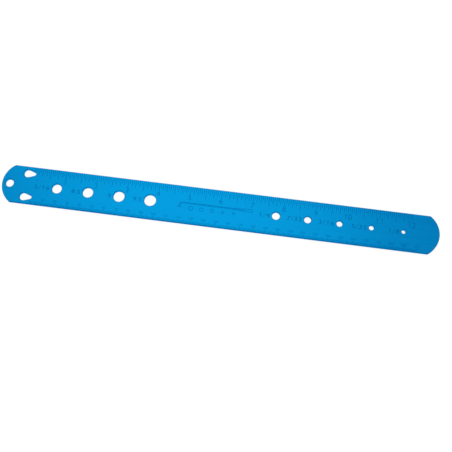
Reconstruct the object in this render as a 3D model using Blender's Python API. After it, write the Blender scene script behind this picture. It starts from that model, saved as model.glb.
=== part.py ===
"""Spoke and bearing gauge, in metres, with +Z up.

The gauge is one flat plate of anodised aluminium. Both ends are cut to an arc that meets the long sides
at a corner. The left end has a hole to hang it by and two teardrop hooks that take the bend of a spoke.
A row of sized holes for bearing balls and cotter pins runs down the middle line, on the pitch of the
inch scale, with a blank field between its larger and its smaller holes.

The plate lies on its back, and the origin is under its middle: +X runs along the scales, away from the
hooks, +Y across the plate, and +Z out of the face that is read.
"""

import math

import bmesh
import bpy

MM = 0.001
INCH = 25.4 * MM

# Blank
PLATE_WIDTH = 31.2 * MM
PLATE_THICKNESS = 3.0 * MM
END_RISE = 8.3 * MM  # how far an end bows out past its two corners
EDGE_BREAK = 0.3 * MM  # chamfer on every rim

# Hole to hang it by
HANG_HOLE_DIAMETER = 6.7 * MM
HANG_HOLE_FROM_END = 6.1 * MM

# Hooks, one near each long side, with the wide end to the left and the tip at the zero of the scales
HOOK_FROM_END = 19.4 * MM  # plate's left end to the centre of the wide end
HOOK_FROM_SIDE = 5.7 * MM  # plate's long side to the hook's middle line
HOOK_WIDE_RADIUS = 3.3 * MM
HOOK_TIP_RADIUS = 1.7 * MM
HOOK_CENTRES_APART = 4.9 * MM  # centre of the wide end to the centre of the tip

# Row of sized holes
HOLE_PITCH = 1 * INCH
ROW_FROM_LEFT_END = 44.9 * MM
ROW_FROM_RIGHT_END = 28.5 * MM
BLANK_PLACES = 3  # places of the row that have no hole
HOLE_PLAY = 0.1 * MM  # a ball or pin of the stated size goes through with this to spare
BALL_5_16 = 5 / 16 * INCH
COTTER_8_5 = 8.5 * MM
COTTER_9_0 = 9.0 * MM
COTTER_9_5 = 9.5 * MM
BALL_1_4 = 1 / 4 * INCH
BALL_7_32 = 7 / 32 * INCH
BALL_3_16 = 3 / 16 * INCH
BALL_5_32 = 5 / 32 * INCH
BALL_1_8 = 1 / 8 * INCH

# Fineness of the arcs
END_ARC_SEGMENTS = 40
HOLE_SEGMENTS = 48

# Finish
ANODISED_BLUE = (0.0, 0.27, 0.64, 1.0)
ANODISED_ROUGHNESS = 0.38
SMOOTH_BELOW = math.radians(25)  # facets that meet at less than this angle are shaded as one surface

larger_holes = [BALL_5_16, COTTER_8_5, COTTER_9_0, COTTER_9_5]
smaller_holes = [BALL_1_4, BALL_7_32, BALL_3_16, BALL_5_32, BALL_1_8]
hole_row = larger_holes + [None] * BLANK_PLACES + smaller_holes

plate_length = ROW_FROM_LEFT_END + (len(hole_row) - 1) * HOLE_PITCH + ROW_FROM_RIGHT_END
left_end = -plate_length / 2
right_end = plate_length / 2
half_width = PLATE_WIDTH / 2


def clear_scene():
    for old in list(bpy.data.objects):
        bpy.data.objects.remove(old)


def arc(centre_x, centre_y, radius, start, end, segments):
    """Points of an arc about a centre, anticlockwise from the angle start to the angle end."""
    points = []
    for step in range(segments + 1):
        angle = start + (end - start) * step / segments
        points.append((centre_x + radius * math.cos(angle), centre_y + radius * math.sin(angle)))
    return points


def blank_outline():
    """Long sides joined by an arc at each end, as wide as the plate where it meets them."""
    radius = (END_RISE**2 + half_width**2) / (2 * END_RISE)
    reach = math.asin(half_width / radius)
    right = arc(right_end - radius, 0, radius, -reach, reach, END_ARC_SEGMENTS)
    left = arc(left_end + radius, 0, radius, math.pi - reach, math.pi + reach, END_ARC_SEGMENTS)
    return right + left


def hook_outline(centre_y):
    """Teardrop around a wide circle and a narrow one, with straight flanks that touch both."""
    wide_x = left_end + HOOK_FROM_END
    tip_x = wide_x + HOOK_CENTRES_APART
    flank = math.acos((HOOK_WIDE_RADIUS - HOOK_TIP_RADIUS) / HOOK_CENTRES_APART)
    wide_share = 1 - flank / math.pi  # share of a full turn that the wide arc covers
    wide_segments = round(HOLE_SEGMENTS * wide_share)
    tip_segments = HOLE_SEGMENTS - wide_segments
    wide = arc(wide_x, centre_y, HOOK_WIDE_RADIUS, flank, 2 * math.pi - flank, wide_segments)
    tip = arc(tip_x, centre_y, HOOK_TIP_RADIUS, -flank, flank, tip_segments)
    return wide + tip


def hole_outline(centre_x, diameter):
    """Full circle on the plate's middle line, without the last point, which would repeat the first."""
    return arc(centre_x, 0, diameter / 2, 0, 2 * math.pi, HOLE_SEGMENTS)[:-1]


def plate_outlines():
    """Blank first, then everything that is cut out of it."""
    outlines = [blank_outline()]
    outlines.append(hole_outline(left_end + HANG_HOLE_FROM_END, HANG_HOLE_DIAMETER))
    hook_y = half_width - HOOK_FROM_SIDE
    outlines.append(hook_outline(hook_y))
    outlines.append(hook_outline(-hook_y))
    for place, size in enumerate(hole_row):
        if size is not None:
            centre_x = left_end + ROW_FROM_LEFT_END + place * HOLE_PITCH
            outlines.append(hole_outline(centre_x, size + HOLE_PLAY))
    return outlines


def flat_curve(name, outlines):
    """Filled 2D curve as thick as the plate, whose bevel chamfers each rim within the outline."""
    curve = bpy.data.curves.new(name, "CURVE")
    curve.dimensions = "2D"
    curve.fill_mode = "BOTH"
    curve.extrude = PLATE_THICKNESS / 2 - EDGE_BREAK
    curve.bevel_depth = EDGE_BREAK
    curve.bevel_resolution = 0
    curve.offset = -EDGE_BREAK
    for outline in outlines:
        spline = curve.splines.new("POLY")
        spline.points.add(len(outline) - 1)
        for point, (x, y) in zip(spline.points, outline):
            point.co = (x, y, 0, 1)
        spline.use_cyclic_u = True
    return curve


def anodised_material():
    material = bpy.data.materials.new("anodised_blue")
    material.use_nodes = True
    shader = material.node_tree.nodes["Principled BSDF"]
    shader.inputs["Base Color"].default_value = ANODISED_BLUE
    shader.inputs["Metallic"].default_value = 1.0
    shader.inputs["Roughness"].default_value = ANODISED_ROUGHNESS
    return material


def mesh_from_curve(name, curve, collection, height):
    """Solid of the curve, standing on height 0, with its faces welded where they meet."""
    outline = bpy.data.objects.new(name + "_outline", curve)
    outline.location.z = height / 2
    collection.objects.link(outline)
    bpy.context.view_layer.update()
    evaluated = outline.evaluated_get(bpy.context.evaluated_depsgraph_get())
    mesh = bpy.data.meshes.new_from_object(evaluated)
    solid = bmesh.new()
    solid.from_mesh(mesh)
    bmesh.ops.remove_doubles(solid, verts=solid.verts, dist=0.001 * MM)
    solid.to_mesh(mesh)
    solid.free()
    mesh.name = name
    piece = bpy.data.objects.new(name, mesh)
    piece.matrix_world = outline.matrix_world
    collection.objects.link(piece)
    bpy.data.objects.remove(outline)
    return piece


def gauge_plate(collection):
    curve = flat_curve("gauge_plate", plate_outlines())
    plate = mesh_from_curve("gauge_plate", curve, collection, PLATE_THICKNESS)
    bpy.data.curves.remove(curve)
    plate.data.shade_smooth()
    plate.data.set_sharp_from_angle(angle=SMOOTH_BELOW)
    plate.data.materials.clear()
    plate.data.materials.append(anodised_material())
    return plate


clear_scene()
gauge = bpy.data.collections.new("spoke_and_bearing_gauge")
bpy.context.scene.collection.children.link(gauge)
gauge_plate(gauge)
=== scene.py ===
"""Looks of the spoke and bearing gauge, around its packed plate.

The gauge is one flat plate of blue anodised aluminium with dark marks in its face. It lies on its back
on a pale floor: +X runs along the scales, +Y across the plate and +Z out of the marked face.
"""

import math

import bmesh
import bpy
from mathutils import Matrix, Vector


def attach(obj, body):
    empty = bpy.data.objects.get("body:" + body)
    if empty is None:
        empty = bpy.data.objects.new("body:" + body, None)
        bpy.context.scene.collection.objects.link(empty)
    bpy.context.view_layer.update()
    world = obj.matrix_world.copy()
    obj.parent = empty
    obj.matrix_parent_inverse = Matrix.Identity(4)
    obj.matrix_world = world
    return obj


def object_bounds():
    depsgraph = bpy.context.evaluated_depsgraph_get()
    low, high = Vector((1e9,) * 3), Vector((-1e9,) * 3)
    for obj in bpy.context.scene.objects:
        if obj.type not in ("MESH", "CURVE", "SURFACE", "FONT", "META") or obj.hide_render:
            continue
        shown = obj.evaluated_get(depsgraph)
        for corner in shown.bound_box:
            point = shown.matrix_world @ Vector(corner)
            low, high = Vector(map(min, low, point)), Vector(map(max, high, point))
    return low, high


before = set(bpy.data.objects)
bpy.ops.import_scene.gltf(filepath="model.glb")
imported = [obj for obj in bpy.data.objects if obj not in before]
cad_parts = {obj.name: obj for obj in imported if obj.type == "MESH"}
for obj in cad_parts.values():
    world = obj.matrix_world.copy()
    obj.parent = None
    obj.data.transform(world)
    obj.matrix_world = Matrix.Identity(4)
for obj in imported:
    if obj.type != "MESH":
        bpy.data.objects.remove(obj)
cad_low, cad_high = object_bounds()
bpy.ops.object.select_all(action="DESELECT")

# Plate
# Rolled aluminium sheet, cut to its outline, drilled, tumbled to break the edges and anodised blue.
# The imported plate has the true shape, so it stays and takes the anodised finish.
MM = 0.001
FACE_BLUE = "#0486c2"
FACE_BLUE_DEEP = "#0482be"
# Painted shade: the chamfers are coloured darker than the face.
CHAMFER_PAINTED_SHADE_BLUE = "#0470a8"
# Painted light: the walls of the holes are coloured lighter than the sides.
HOLE_WALL_PAINTED_LIGHT_BLUE = "#18a8e0"
# Painted shade: the outer sides are coloured darker than the walls of the holes.
SIDE_PAINTED_SHADE_BLUE = "#088cc6"
GRAZING_BLUE = "#8cc4e4"
SATIN_ROUGHNESS = 0.36
ROUGHNESS_SWING = 0.04  # the grain's share in the roughness, either way
ROUGHNESS_FROM, ROUGHNESS_TO = 0.3, 0.7  # between these values of the grain
TONE_SWING = 0.08  # and its share in the brightness, either way
TONE_FROM, TONE_TO = 0.38, 0.62
RELIEF_DEPTH = 0.01 * MM
RELIEF_STRENGTH = 0.6
ETCH_GRAIN = 0.25 * MM  # the etched grain and the rolled lines are finer; they are drawn so that they show
ROLLED_WIDTH = 0.9 * MM
ROLLED_LENGTH = 45 * MM
DYE_CLOUD = 60 * MM  # the bath dyes slightly unevenly over about this length
FACE_NORMAL = 0.97  # a normal with at least this share of Z belongs to a face
WALL_NORMAL = 0.3  # and one with at most this share to a side or the wall of a hole, so the rest are chamfers
END_CENTRE_X = 157.6 * MM  # the arcs of the ends are drawn about this distance from the plate's middle
PAST_END_HOLE = 17.5 * MM  # from that centre; the hanging hole ends before, and the plate's end lies beyond
PAST_HOOKS = 15.0 * MM  # from the middle line; the hooks end before, and the long side lies beyond


def linear(hex_colour):
    """sRGB hex colour as linear RGBA."""
    channels = []
    for start in (1, 3, 5):
        value = int(hex_colour[start:start + 2], 16) / 255
        channels.append(value / 12.92 if value <= 0.04045 else ((value + 0.055) / 1.055) ** 2.4)
    return (*channels, 1)


def add_node(tree, kind, inputs=None, **settings):
    """Adds a node with its settings. An input is a value, or the output socket that it is linked from."""
    made = tree.nodes.new(kind)
    for name, value in settings.items():
        setattr(made, name, value)
    for name, value in (inputs or {}).items():
        if isinstance(value, bpy.types.NodeSocket):
            tree.links.new(value, made.inputs[name])
        else:
            made.inputs[name].default_value = value
    return made


def blend(tree, share, first, second):
    """Socket of a colour between two others. Inputs 6 and 7 of this node are its colours."""
    made = add_node(tree, "ShaderNodeMix", {"Factor": share, 6: first, 7: second}, data_type="RGBA")
    return made.outputs[2]


def over(tree, value, limit):
    """Socket that is 1 where the value is over the limit, or else 0."""
    return add_node(tree, "ShaderNodeMath", {0: value, 1: limit}, operation="GREATER_THAN").outputs[0]


def larger(tree, first, second):
    """Socket of the larger of two values."""
    return add_node(tree, "ShaderNodeMath", {0: first, 1: second}, operation="MAXIMUM").outputs[0]


def new_material(name, **shader_inputs):
    """Material of one Principled shader with these constants, and its node tree."""
    material = bpy.data.materials.new(name)
    material.use_nodes = True
    tree = material.node_tree
    shader = tree.nodes["Principled BSDF"]
    for socket, value in shader_inputs.items():
        shader.inputs[socket.replace("_", " ")].default_value = value
    return material, tree, shader


# Anodised aluminium, etched satin before dyeing: a metal seen through a thin dyed oxide, so that its
# reflections are blue and soft. Lines from the rolling mill draw faint streaks along the plate under the
# even matt grain of the etch. The broken edges are painted darker than the face as painted shade, the
# sides are painted about like the face but darker than the walls of the holes as painted shade, and the
# walls of the holes are painted lighter as painted light.
anodised, tree, shader = new_material(
    "satin_blue_anodised_aluminium", Metallic=1.0, Specular_Tint=linear(GRAZING_BLUE))
place = add_node(tree, "ShaderNodeTexCoord")
cloud = add_node(tree, "ShaderNodeTexNoise", {
    "Vector": place.outputs["Object"], "Scale": 1 / DYE_CLOUD, "Detail": 2.0, "Roughness": 0.5})
along_plate = add_node(tree, "ShaderNodeMapping", {
    "Vector": place.outputs["Object"], "Scale": (1 / ROLLED_LENGTH, 1 / ROLLED_WIDTH, 1 / ROLLED_WIDTH)})
rolled = add_node(tree, "ShaderNodeTexNoise", {
    "Vector": along_plate.outputs["Vector"], "Scale": 1.0, "Detail": 3.0, "Roughness": 0.6})
etched = add_node(tree, "ShaderNodeTexNoise", {
    "Vector": place.outputs["Object"], "Scale": 1 / ETCH_GRAIN, "Detail": 1.0, "Roughness": 0.5})
grain = add_node(tree, "ShaderNodeMix", {
    "Factor": 0.5, 2: rolled.outputs["Fac"], 3: etched.outputs["Fac"]}, data_type="FLOAT")
tone = add_node(tree, "ShaderNodeMapRange", {
    "Value": grain.outputs[0], "From Min": TONE_FROM, "From Max": TONE_TO,
    "To Min": 1 - TONE_SWING, "To Max": 1 + TONE_SWING})
grained_blue = add_node(tree, "ShaderNodeVectorMath", {
    0: blend(tree, cloud.outputs["Fac"], linear(FACE_BLUE_DEEP), linear(FACE_BLUE)),
    "Scale": tone.outputs["Result"]}, operation="SCALE")
satin = add_node(tree, "ShaderNodeMapRange", {
    "Value": grain.outputs[0], "From Min": ROUGHNESS_FROM, "From Max": ROUGHNESS_TO,
    "To Min": SATIN_ROUGHNESS - ROUGHNESS_SWING, "To Max": SATIN_ROUGHNESS + ROUGHNESS_SWING})
relief = add_node(tree, "ShaderNodeBump", {
    "Height": grain.outputs[0], "Strength": RELIEF_STRENGTH, "Distance": RELIEF_DEPTH})

# The four quarters of the outline are alike, so one of them tells the sides from the walls of the holes, so
# that the sides take painted shade and the walls of the holes painted light.
quarter = add_node(tree, "ShaderNodeVectorMath", {0: place.outputs["Object"]}, operation="ABSOLUTE")
across = add_node(tree, "ShaderNodeSeparateXYZ", {"Vector": quarter.outputs[0]})
from_centre = add_node(tree, "ShaderNodeVectorMath", {
    0: quarter.outputs[0], 1: (END_CENTRE_X, 0, 0)}, operation="SUBTRACT")
towards_end = add_node(tree, "ShaderNodeVectorMath", {
    0: from_centre.outputs[0], 1: (0, 0, 0)}, operation="MAXIMUM")
reach = add_node(tree, "ShaderNodeVectorMath", {0: towards_end.outputs[0]}, operation="LENGTH")
painted_shade_side = larger(
    tree, over(tree, across.outputs["Y"], PAST_HOOKS), over(tree, reach.outputs["Value"], PAST_END_HOLE))

# By how steeply a surface faces up, the face keeps its blue, the chamfers take painted shade, and the walls
# take the painted light of the holes or the painted shade of the sides.
facing = add_node(tree, "ShaderNodeSeparateXYZ", {"Vector": place.outputs["Normal"]})
steep = add_node(tree, "ShaderNodeMath", {0: facing.outputs["Z"]}, operation="ABSOLUTE")
wall_painted_light_and_shade = blend(tree, painted_shade_side, linear(HOLE_WALL_PAINTED_LIGHT_BLUE), linear(SIDE_PAINTED_SHADE_BLUE))
edge_painted_light_and_shade = blend(tree, over(tree, steep.outputs[0], WALL_NORMAL), wall_painted_light_and_shade, linear(CHAMFER_PAINTED_SHADE_BLUE))
blue = blend(tree, over(tree, steep.outputs[0], FACE_NORMAL), edge_painted_light_and_shade, grained_blue.outputs[0])
tree.links.new(blue, shader.inputs["Base Color"])
tree.links.new(satin.outputs["Result"], shader.inputs["Roughness"])
tree.links.new(relief.outputs["Normal"], shader.inputs["Normal"])

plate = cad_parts["gauge_plate"]
plate.data.materials.clear()
plate.data.materials.append(anodised)

# Inch scale
# Dark lines drawn into the anodising by a laser, from the upper long side, every sixteenth of an inch.
# Zero is just short of the tip of the hooks, where the inside of a spoke's bend comes to rest.
INCH = 25.4 * MM
ZERO_FROM_END = 25.35 * MM
SCALE_MARGIN = 0.35 * MM  # side of the plate to the root of a line
LINE_WIDTH = 0.30 * MM
LINE_CORNER = 0.4 * LINE_WIDTH
CORNER_STEPS = 2
MARK_PROUD = 0.02 * MM  # what the mark stands above the face, so that it shows
MARK_SUNK = 0.03 * MM
WELD = 0.001 * MM  # points that are nearer than this are one
INCH_COUNT = 12
SIXTEENTH, EIGHTH, QUARTER, HALF = 3.9 * MM, 5.6 * MM, 6.7 * MM, 8.2 * MM
WHOLE = 6.4 * MM  # ends above its numeral
ZERO = 3.3 * MM  # ends above the hook
INCH_NUMERAL = 4.7 * MM
INCH_NUMERAL_Y = 5.95 * MM
INCH_THINNED = 0.15 * MM  # taken off the outline of a numeral, all round
FONT_SHARE = 0.73  # height of a numeral to the size of the font
NUMERAL_STEPS = 4  # to each piece of a numeral's outline
FOLD_SHARE = 0.02  # a step of the outline shorter than this share of the height would fold when thinned
FLAGGED_ONE = "\U0001d7e3"  # sans-serif digit one; the plain one is a bare stroke like the scale's lines
MARK_DARK = "#00599b"
MARK_LESS_DARK = "#0067ab"
MARK_GRAZING = "#407bbc"
MARK_ROUGHNESS = 0.5
SPECKLE = 0.3 * MM  # the laser's dots are finer; they are drawn so that they show

face_z = cad_high.z
zero_x = cad_low.x + ZERO_FROM_END

# Laser mark in anodising: the dye is burnt out and the oxide left matt and dark.
laser_mark, tree, shader = new_material(
    "laser_darkened_anodising", Metallic=1.0, Roughness=MARK_ROUGHNESS, Specular_Tint=linear(MARK_GRAZING))
place = add_node(tree, "ShaderNodeTexCoord")
speckle = add_node(tree, "ShaderNodeTexNoise", {
    "Vector": place.outputs["Object"], "Scale": 1 / SPECKLE, "Detail": 2.0})
burnt = blend(tree, speckle.outputs["Fac"], linear(MARK_DARK), linear(MARK_LESS_DARK))
tree.links.new(burnt, shader.inputs["Base Color"])


def repeated(piece, count, pitch):
    """Repeats the piece along the plate."""
    bpy.context.view_layer.objects.active = piece
    row = piece.modifiers.new("row", "ARRAY")
    row.count = count
    row.use_relative_offset = False
    row.use_constant_offset = True
    row.constant_offset_displace = (pitch, 0, 0)
    bpy.ops.object.modifier_apply(modifier="row")


def thicken_mark():
    """Makes the flat outline in edit mode a thin closed solid that stands through the face."""
    bpy.ops.mesh.select_all(action="SELECT")
    bpy.ops.mesh.extrude_region_move(TRANSFORM_OT_translate={"value": (0, 0, MARK_SUNK + MARK_PROUD)})
    bpy.ops.mesh.select_all(action="SELECT")
    bpy.ops.mesh.normals_make_consistent(inside=False)


def line_row(name, first_x, side_y, length, pitch, count):
    """Row of like lines. The first is a strip with rounded corners, and an array repeats it."""
    root_y = side_y - math.copysign(SCALE_MARGIN, side_y)
    tip_y = root_y - math.copysign(length, side_y)
    bpy.ops.mesh.primitive_plane_add(size=1, location=(first_x, (root_y + tip_y) / 2, face_z - MARK_SUNK))
    strip = bpy.context.object
    strip.name = name
    strip.scale = (LINE_WIDTH, length, 1)
    bpy.ops.object.transform_apply(location=True, rotation=True, scale=True)
    bpy.ops.object.mode_set(mode="EDIT")
    bpy.ops.mesh.select_all(action="SELECT")
    bpy.ops.mesh.bevel(offset=LINE_CORNER, segments=CORNER_STEPS, affect="VERTICES")
    thicken_mark()
    bpy.ops.object.mode_set(mode="OBJECT")
    repeated(strip, count, pitch)
    return strip


def lettering(name, text, x, y, height, width=1.0, spacing=1.0, thinned=0.0, align="CENTER"):
    """Numerals as a thin solid, upright for a reader whose +X is to the right."""
    bpy.ops.object.text_add()
    letters = bpy.context.object
    letters.name = name
    letters.data.body = text.replace("1", FLAGGED_ONE)
    letters.data.align_x = align
    letters.data.align_y = "CENTER"
    letters.data.size = height / FONT_SHARE
    letters.data.space_character = spacing
    bpy.ops.object.convert(target="CURVE")
    letters = bpy.context.object
    for spline in letters.data.splines:
        for index, point in enumerate(spline.bezier_points):
            step = point.co - spline.bezier_points[index - 1].co
            point.select_control_point = step.length < FOLD_SHARE * height
    bpy.ops.object.mode_set(mode="EDIT")
    bpy.ops.curve.delete(type="VERT")
    bpy.ops.object.mode_set(mode="OBJECT")
    letters.data.resolution_u = NUMERAL_STEPS
    letters.data.offset = -thinned
    bpy.ops.object.convert(target="MESH")
    letters.location = (x, y, face_z - MARK_SUNK)
    letters.scale = (width, 1, 1)
    bpy.ops.object.transform_apply(location=True, rotation=True, scale=True)
    bpy.ops.object.mode_set(mode="EDIT")
    bpy.ops.mesh.select_all(action="SELECT")
    bpy.ops.mesh.remove_doubles(threshold=WELD)
    bpy.ops.mesh.beautify_fill()
    thicken_mark()
    bpy.ops.object.mode_set(mode="OBJECT")
    return letters


def joined(name, parts):
    """One piece from these parts, with the laser mark's finish, riding on the plate."""
    bpy.ops.object.select_all(action="DESELECT")
    for part in parts:
        part.select_set(True)
    bpy.context.view_layer.objects.active = parts[0]
    bpy.ops.object.join()
    piece = bpy.context.object
    piece.name = name
    piece.data.name = name
    piece.data.materials.clear()
    piece.data.materials.append(laser_mark)
    bpy.ops.object.select_all(action="DESELECT")
    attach(piece, "root")
    return piece


upper_side = cad_high.y
inch_rows = [
    line_row("sixteenths", zero_x + INCH / 16, upper_side, SIXTEENTH, INCH / 8, 8 * INCH_COUNT),
    line_row("eighths", zero_x + INCH / 8, upper_side, EIGHTH, INCH / 4, 4 * INCH_COUNT),
    line_row("quarters", zero_x + INCH / 4, upper_side, QUARTER, INCH / 2, 2 * INCH_COUNT),
    line_row("halves", zero_x + INCH / 2, upper_side, HALF, INCH, INCH_COUNT),
    line_row("inches", zero_x + INCH, upper_side, WHOLE, INCH, INCH_COUNT),
    line_row("zero", zero_x, upper_side, ZERO, INCH, 1),
]
joined("inch_scale", inch_rows)
joined("inch_numerals", [
    lettering(
        "inch", str(number), zero_x + number * INCH, INCH_NUMERAL_Y, INCH_NUMERAL, thinned=INCH_THINNED)
    for number in range(1, INCH_COUNT + 1)])

# Millimetre scale
# Lines of the same laser from the lower long side, every millimetre, from the same zero. Every fifth
# and tenth line is longer, and every tenth has its number above it.
MILLIMETRES = 310
ONE, FIVE, TEN = 1.7 * MM, 2.3 * MM, 2.9 * MM
MM_NUMERAL = 2.1 * MM
MM_NUMERAL_Y = -11.3 * MM
MM_THINNED = 0.06 * MM

lower_side = cad_low.y
ones = line_row("ones", zero_x + MM, lower_side, ONE, MM, 4)
repeated(ones, MILLIMETRES // 5, 5 * MM)
joined("millimetre_scale", [
    ones,
    line_row("fives", zero_x + 5 * MM, lower_side, FIVE, 10 * MM, MILLIMETRES // 10),
    line_row("tens", zero_x, lower_side, TEN, 10 * MM, MILLIMETRES // 10 + 1),
])
joined("millimetre_numerals", [
    lettering("ten", str(number), zero_x + number * MM, MM_NUMERAL_Y, MM_NUMERAL, thinned=MM_THINNED)
    for number in range(10, MILLIMETRES + 1, 10)])

# Hole sizes
# Each sized hole has its size in numerals to its left, in the marks of the scales: balls in fractions
# of an inch, and cotter pins in millimetres.
ROW_FROM_END = 44.9 * MM
SIZE_NUMERAL = 3.7 * MM
SIZE_WIDTH = 1.2  # numerals are drawn wider than the font's
FRACTION_SPACING = 1.17  # and those of a fraction stand further apart
SIZE_GAP = 1.7 * MM  # numerals to the hole's rim
SIZE_Y = -0.7 * MM
SIZE_THINNED = 0.09 * MM
HOLE_SIZES = {  # by the hole's place in the row, which leaves places 4 to 6 bare
    0: ("5/16", 5 / 16 * INCH),
    1: ("8.5", 8.5 * MM),
    2: ("9", 9.0 * MM),
    3: ("9.5", 9.5 * MM),
    7: ("1/4", 1 / 4 * INCH),
    8: ("7/32", 7 / 32 * INCH),
    9: ("3/16", 3 / 16 * INCH),
    10: ("5/32", 5 / 32 * INCH),
    11: ("1/8", 1 / 8 * INCH),
}
size_marks = []
for place_in_row, (words, diameter) in HOLE_SIZES.items():
    rim_x = cad_low.x + ROW_FROM_END + place_in_row * INCH - diameter / 2
    spacing = FRACTION_SPACING if "/" in words else 1.0
    size_marks.append(lettering(
        "size", words, rim_x - SIZE_GAP, SIZE_Y, SIZE_NUMERAL,
        width=SIZE_WIDTH, spacing=spacing, thinned=SIZE_THINNED, align="RIGHT"))
joined("hole_sizes", size_marks)

# Pictogram
# In the bare field between the larger and the smaller holes the same laser draws what the gauge is for:
# a spoke with its bend, thread and nipple, and under it a row of bearing balls.
PICTURE_LEFT = -32.5 * MM
PICTURE_RIGHT = 27.5 * MM
SPOKE_Y = 1.4 * MM
SPOKE_THICK = 1.1 * MM
BEND_RADIUS = 2.0 * MM
HEAD_WIDTH = 2.6 * MM
HEAD_DROP = 0.7 * MM  # straight piece from the bend to the head
HEAD_FLARE = 0.3 * MM  # and the cone and the rim of the head, along the spoke
HEAD_RIM = 0.7 * MM
THREAD_PITCH = 0.8 * MM
THREAD_TURNS = 9
THREAD_HEIGHT = 2 * SPOKE_THICK
NIPPLE_LENGTH = 7.0 * MM
NIPPLE_HEIGHT = 2.4 * MM
NIPPLE_CORNER = 0.2 * NIPPLE_HEIGHT
OUTLINE_WIDTH = 0.32 * MM
BEND_STEPS, NIPPLE_STEPS, BALL_STEPS = 8, 3, 32
BALLS_Y = -2.6 * MM
BALL_FIRST_X = -22.0 * MM
BALL_PITCH = 8.6 * MM
BALL_SIZES = (3.6 * MM, 3.2 * MM, 2.8 * MM, 2.4 * MM, 2.0 * MM)


def flat_bar(name, left, right, y, height):
    """Flat rectangle under the face's level, left in edit mode."""
    bpy.ops.mesh.primitive_plane_add(size=1, location=((left + right) / 2, y, face_z - MARK_SUNK))
    bar = bpy.context.object
    bar.name = name
    bar.scale = (right - left, height, 1)
    bpy.ops.object.transform_apply(location=True, rotation=True, scale=True)
    bpy.ops.object.mode_set(mode="EDIT")
    bpy.ops.mesh.select_all(action="DESELECT")
    return bar


def select_edge_at(bar, axis, value):
    """Selects the one edge whose two ends lie at this place along the axis."""
    shape = bmesh.from_edit_mesh(bar.data)
    for edge in shape.edges:
        edge.select_set(all(abs(vert.co[axis] - value) < WELD for vert in edge.verts))
    bmesh.update_edit_mesh(bar.data)


def keep_rim(width):
    """Insets the flat outline in edit mode by the width of a line and cuts out its middle."""
    bpy.ops.mesh.select_all(action="SELECT")
    bpy.ops.mesh.inset(thickness=width, depth=0)
    bpy.ops.mesh.delete(type="FACE")


nipple_left = PICTURE_RIGHT - NIPPLE_LENGTH
thread_left = nipple_left - THREAD_TURNS * THREAD_PITCH
bend_x = PICTURE_LEFT + HEAD_WIDTH / 2 + BEND_RADIUS
spoke = flat_bar("spoke", bend_x, thread_left, SPOKE_Y, SPOKE_THICK)
select_edge_at(spoke, 0, bend_x)
bpy.ops.mesh.spin(
    steps=BEND_STEPS, angle=-math.pi / 2, axis=(0, 0, 1),
    center=(bend_x, SPOKE_Y - BEND_RADIUS, face_z - MARK_SUNK))
bpy.ops.mesh.extrude_edges_move(TRANSFORM_OT_translate={"value": (0, -HEAD_DROP, 0)})
bpy.ops.mesh.extrude_edges_move(TRANSFORM_OT_translate={"value": (0, -HEAD_FLARE, 0)})
bpy.ops.transform.resize(value=(HEAD_WIDTH / SPOKE_THICK, 1, 1))
bpy.ops.mesh.extrude_edges_move(TRANSFORM_OT_translate={"value": (0, -HEAD_RIM, 0)})
bpy.ops.mesh.select_all(action="SELECT")
bpy.ops.mesh.remove_doubles(threshold=WELD)
keep_rim(OUTLINE_WIDTH)
thicken_mark()
bpy.ops.object.mode_set(mode="OBJECT")

thread = flat_bar("thread", thread_left, thread_left + LINE_WIDTH, SPOKE_Y, THREAD_HEIGHT)
thicken_mark()
bpy.ops.object.mode_set(mode="OBJECT")
repeated(thread, THREAD_TURNS, THREAD_PITCH)

nipple = flat_bar("nipple", nipple_left, PICTURE_RIGHT, SPOKE_Y, NIPPLE_HEIGHT)
bpy.ops.mesh.select_all(action="SELECT")
bpy.ops.mesh.bevel(offset=NIPPLE_CORNER, segments=NIPPLE_STEPS, affect="VERTICES")
keep_rim(OUTLINE_WIDTH)
thicken_mark()
bpy.ops.object.mode_set(mode="OBJECT")

balls = []
for place_in_row, diameter in enumerate(BALL_SIZES):
    ball_x = BALL_FIRST_X + place_in_row * BALL_PITCH
    bpy.ops.mesh.primitive_circle_add(
        vertices=BALL_STEPS, radius=diameter / 2, fill_type="NGON",
        location=(ball_x, BALLS_Y, face_z - MARK_SUNK))
    ball = bpy.context.object
    bpy.ops.object.transform_apply(location=True, rotation=True, scale=True)
    bpy.ops.object.mode_set(mode="EDIT")
    keep_rim(OUTLINE_WIDTH)
    thicken_mark()
    bpy.ops.object.mode_set(mode="OBJECT")
    balls.append(ball)
joined("spoke_and_ball_pictogram", [spoke, thread, nipple, *balls])

# Floor
# Plain pale sheet a hair below the plate. What the camera and the metal see of it is mostly white by
# itself, so the page stays white around the plate's own shadow.
FLOOR_SIZE = 8.0
FLOOR_GAP = 0.05 * MM
FLOOR_PALE = "#f4f4f4"
PAGE_SHARE = 0.85
PAGE_STRENGTH = 1.08  # a little over 1, which makes up for the share that is lit paper

bpy.ops.mesh.primitive_plane_add(size=FLOOR_SIZE, location=(0, 0, -FLOOR_GAP))
floor = bpy.context.object
floor.name = "floor"
floor_paper = bpy.data.materials.new("matt_white_paper")
floor_paper.use_nodes = True
tree = floor_paper.node_tree
tree.nodes.clear()
paper = add_node(tree, "ShaderNodeBsdfDiffuse", {"Color": linear(FLOOR_PALE)})
page_white = add_node(tree, "ShaderNodeEmission", {"Color": (1, 1, 1, 1), "Strength": PAGE_STRENGTH})
ray = add_node(tree, "ShaderNodeLightPath")
seen = larger(
    tree, ray.outputs["Is Camera Ray"],
    larger(tree, ray.outputs["Is Glossy Ray"], ray.outputs["Is Transmission Ray"]))
share = add_node(tree, "ShaderNodeMath", {0: seen, 1: PAGE_SHARE}, operation="MULTIPLY")
mixed = add_node(tree, "ShaderNodeMixShader", {
    0: share.outputs[0], 1: paper.outputs[0], 2: page_white.outputs[0]})
add_node(tree, "ShaderNodeOutputMaterial", {"Surface": mixed.outputs[0]})
floor.data.materials.append(floor_paper)

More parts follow.
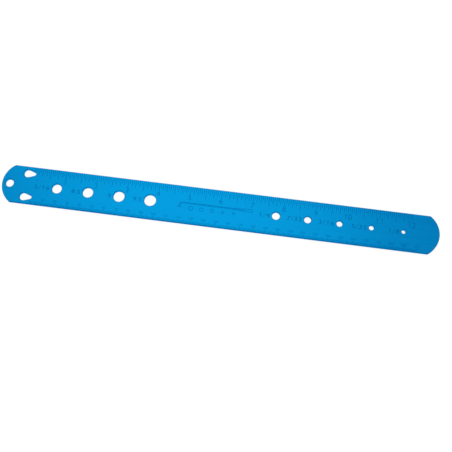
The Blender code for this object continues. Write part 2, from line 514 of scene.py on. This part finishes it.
# Light
# An even, slightly cool white room and one large soft lamp, slightly warm, up and to the left, whose
# broad sheen lies left of the plate's middle. The camera sees white past the floor, and the plate the room.
ROOM_LIGHT = 0.74
ROOM_TINT = "#e8edff"
LAMP_TINT = "#fff8df"
LAMP_SIZE = 0.72
LAMP_PLACE = Vector((-0.12, 0.31, 1.0))
LAMP_AIM = Vector((-0.04, 0.0, 0.0))
LAMP_POWER = 1.85

world = bpy.data.worlds.new("white_room")
bpy.context.scene.world = world
world.use_nodes = True
tree = world.node_tree
tree.nodes.clear()
ray = add_node(tree, "ShaderNodeLightPath")
room = add_node(tree, "ShaderNodeBackground", {"Color": linear(ROOM_TINT), "Strength": ROOM_LIGHT})
page = add_node(tree, "ShaderNodeBackground", {"Color": (1, 1, 1, 1), "Strength": 1.0})
mixed = add_node(tree, "ShaderNodeMixShader", {
    0: ray.outputs["Is Camera Ray"], 1: room.outputs[0], 2: page.outputs[0]})
add_node(tree, "ShaderNodeOutputWorld", {"Surface": mixed.outputs[0]})

bpy.ops.object.light_add(type="AREA", location=LAMP_PLACE)
lamp = bpy.context.object
lamp.name = "soft_lamp"
lamp.data.shape = "DISK"
lamp.data.size = LAMP_SIZE
lamp.data.energy = LAMP_POWER
lamp.data.color = linear(LAMP_TINT)[:3]
lamp.rotation_euler = (LAMP_AIM - LAMP_PLACE).to_track_quat("-Z", "Y").to_euler()

# Camera
# 750 mm from the plate and nearly above it, tipped back a little, so the lower side shows its edge. It
# was fitted to the pitch of the holes, the sides and the ends in the photo.
SENSOR = 36.0
FOCAL_LENGTH = 74.9
CAMERA_PLACE = Vector((46.57, -223.69, 718.64)) * MM
CAMERA_TURN = 8.018
CAMERA_TIP = 16.34
CAMERA_LEAN = 3.085

bpy.ops.object.camera_add(location=CAMERA_PLACE)
camera = bpy.context.object
camera.data.sensor_width = SENSOR
camera.data.lens = FOCAL_LENGTH
camera.data.clip_start = 0.01
camera.data.clip_end = 100
camera.rotation_mode = "ZXY"
camera.rotation_euler = (math.radians(CAMERA_TIP), math.radians(CAMERA_LEAN), math.radians(CAMERA_TURN))
bpy.context.scene.camera = camera
bpy.context.scene.view_settings.view_transform = "Standard"
